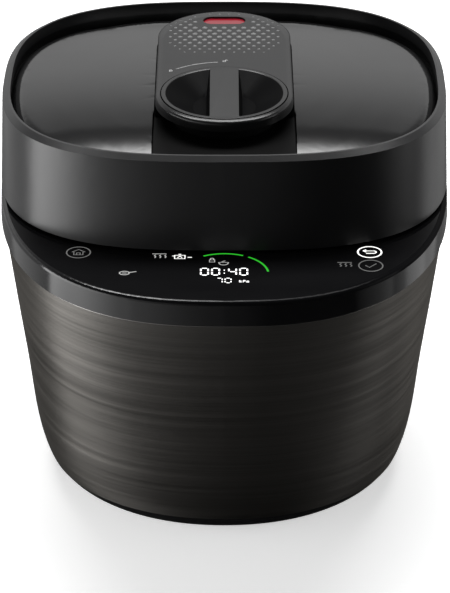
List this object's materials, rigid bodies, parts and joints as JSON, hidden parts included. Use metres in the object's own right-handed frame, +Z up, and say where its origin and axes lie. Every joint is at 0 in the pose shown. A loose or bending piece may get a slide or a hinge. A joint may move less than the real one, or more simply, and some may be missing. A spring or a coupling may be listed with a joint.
{
  "type": "electric pressure cooker",
  "caption": "Electric pressure cooker with a hinged rounded lid, recessed turning lock knob on a raised bridge, ledge-shaped touch panel and tapered steel body.",
  "frame": {"origin": "middle of the footprint, on the table plane under the feet", "axes": "+Z up, -Y towards the front with the touch panel, +X to the right of someone who faces the panel"},
  "size_m": [0.3296, 0.3902, 0.3223],
  "materials": {
    "black_satin": "satin",
    "black_gloss": "gloss",
    "grey_gloss": "gloss",
    "dark_steel": "brushed",
    "steel": "satin",
    "pot_steel": "brushed",
    "pot_coat": "matt",
    "aluminium": "satin",
    "rubber": "matt",
    "silicone": "matt",
    "board": "matt",
    "red": "gloss",
    "brass": "satin",
    "heat_plastic": "matt"
  },
  "bodies": {
    "base": {"base_tray": "black_satin", "rubber_feet": "rubber", "support_legs": "heat_plastic", "base_screws": "steel", "body_wrap": "dark_steel", "collar": "black_satin", "control_panel": "black_gloss", "display_module": "heat_plastic", "display_board": "board", "power_board": "board", "power_inlet": "heat_plastic", "inlet_pins": "brass", "outer_pot": "aluminium", "heating_plate": "aluminium", "heater_tube": "steel", "sensor_cup": "steel", "sensor_spring": "steel", "inner_pot": "pot_coat", "hinge_housing": "black_satin", "hinge_pin": "steel", "hinge_spring": "steel"},
    "lid": {"lid_hinge_arm": "black_satin", "lid_shell": "black_satin", "lid_deck": "black_satin", "lid_panel": "grey_gloss", "lid_liner": "black_satin", "liner_screws": "steel", "lid_bridge": "grey_gloss", "knob_sleeve": "grey_gloss", "pressure_lid": "steel", "lid_posts": "steel", "ring_guides": "heat_plastic", "inner_lid": "pot_steel", "sealing_ring": "silicone", "inner_lid_nut": "heat_plastic", "filter_cap": "steel", "vent_pipe": "steel", "release_solenoid": "steel", "float_guide": "heat_plastic"},
    "knob": {"lock_knob": "grey_gloss", "knob_shaft": "steel", "drive_pinion": "heat_plastic", "pinion_screw": "steel"},
    "bayonet": {"lock_ring": "aluminium", "drive_sector": "steel"},
    "float": {"float_indicator": "red", "float_seal": "silicone"},
    "weight": {"limiter_weight": "steel"},
    "sensor": {"sensor_plunger": "aluminium"}
  },
  "joints": [
    {"name": "lid_hinge", "type": "hinge", "parent": "base", "child": "lid", "pos_m": [0, 0.18705, 0.24], "axis": [-1, 0, 0], "range_deg": [0, 80]},
    {"name": "ring_turn", "type": "hinge", "parent": "lid", "child": "bayonet", "pos_m": [0, 0.02655, 0.25], "axis": [0, 0, 1], "range_deg": [0, 14.8]},
    {"name": "knob_turn", "type": "hinge", "parent": "lid", "child": "knob", "pos_m": [0, -0.02645, 0.3], "axis": [0, 0, 1], "range_deg": [0, 45]},
    {"name": "float_lift", "type": "slide", "parent": "lid", "child": "float", "axis": [0, 0, 1], "range_m": [0, 0.0035]},
    {"name": "weight_lift", "type": "slide", "parent": "lid", "child": "weight", "axis": [0, 0, 1], "range_m": [0, 0.003]},
    {"name": "sensor_press", "type": "slide", "parent": "base", "child": "sensor", "axis": [0, 0, 1], "range_m": [-0.002, 0], "stiffness_N_per_m": 300, "springref_m": 0.003, "deforming": ["sensor_spring"]}
  ],
  "couplings": [
    {"joint": "knob_turn", "follows": "ring_turn", "ratio": 3.0385}
  ]
}
